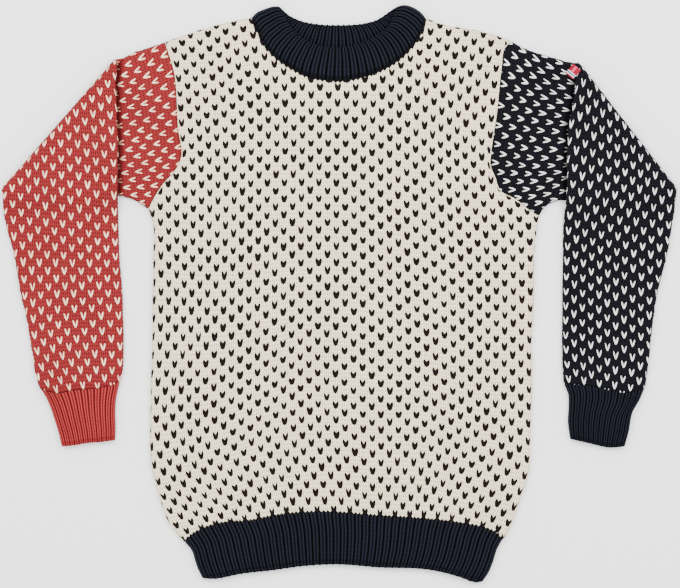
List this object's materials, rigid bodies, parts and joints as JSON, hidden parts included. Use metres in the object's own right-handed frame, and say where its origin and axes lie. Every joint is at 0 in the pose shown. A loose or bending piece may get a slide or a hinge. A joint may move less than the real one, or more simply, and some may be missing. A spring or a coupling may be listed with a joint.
{
  "type": "knitted pullover",
  "caption": "Crew-neck knitted pullover laid flat, with cream body, one red and one dark blue sleeve folded forward, ribbed hem, cuffs and neckband, and small stitch flecks.",
  "frame": {"origin": "on the surface that the garment lies on, under the middle of its outline", "axes": "+X across the garment towards the dark blue sleeve, +Y up to the neck, +Z away from the surface"},
  "size_m": [0.8615, 0.7386, 0.0164],
  "materials": {
    "cream_wool": "knitted wool",
    "red_wool": "knitted wool",
    "navy_wool": "knitted wool",
    "woven_tab": "woven ribbon"
  },
  "bodies": {
    "root": {"back": "cream_wool", "front": "cream_wool", "hem": "navy_wool", "neckband": "navy_wool", "sleeve_red": "red_wool", "sleeve_navy": "navy_wool", "cuff_red": "red_wool", "cuff_navy": "navy_wool", "flag_tab": "woven_tab"}
  },
  "joints": []
}
